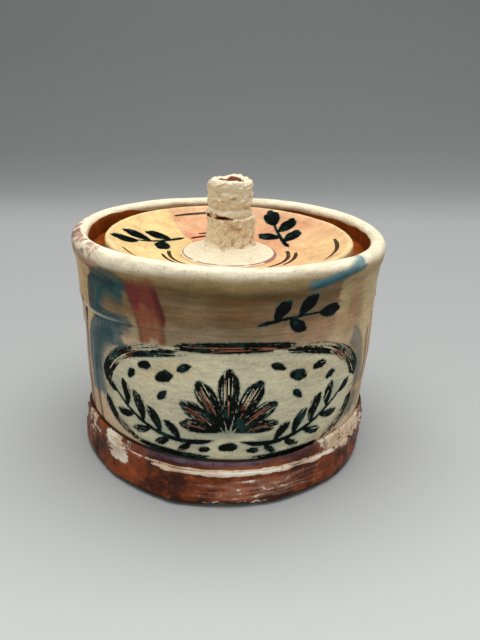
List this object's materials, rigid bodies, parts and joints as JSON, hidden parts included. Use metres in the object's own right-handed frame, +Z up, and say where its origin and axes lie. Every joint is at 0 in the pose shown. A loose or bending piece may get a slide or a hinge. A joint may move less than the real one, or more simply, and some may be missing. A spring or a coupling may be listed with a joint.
{
  "type": "lidded jar",
  "caption": "Hand-built round earthenware jar with a rolled rim, a foot slab and a sunk dished lid that lifts off by a knob.",
  "frame": {"origin": "centre of the foot's flat underside, on the surface the jar stands on", "axes": "+Z up along the jar's axis and the lid's lift; -Y towards the side seen in the picture; +X to the right of that view"},
  "size_m": [0.1157, 0.1143, 0.1032],
  "materials": {
    "foot_clay": "clear gloss over red-brown earthenware, with slip smears",
    "foot_slip": "clear gloss over purple-grey and cream slip",
    "painted_wall": "clear gloss over brushed cream slip with coloured washes",
    "painted_collar": "clear gloss over ochre wash, cream lip",
    "inner_glaze": "amber brown gloss",
    "painted_lid": "clear gloss over yellow and pink washes",
    "knob_slip": "satin cream slip, rough and pitted"
  },
  "bodies": {
    "pot": {"foot_slab": "foot_clay", "luting_coil": "foot_slip", "lower_wall": "painted_wall", "collar": "painted_collar", "gallery_ledge": "inner_glaze"},
    "lid": {"lid_dish": "painted_lid", "knob_pad": "knob_slip", "knob_stem": "knob_slip", "knob_cap": "knob_slip"}
  },
  "joints": [
    {"name": "lid_lift", "type": "slide", "parent": "pot", "child": "lid", "axis": [0, 0, 1], "range_m": [0, 0.05]}
  ]
}
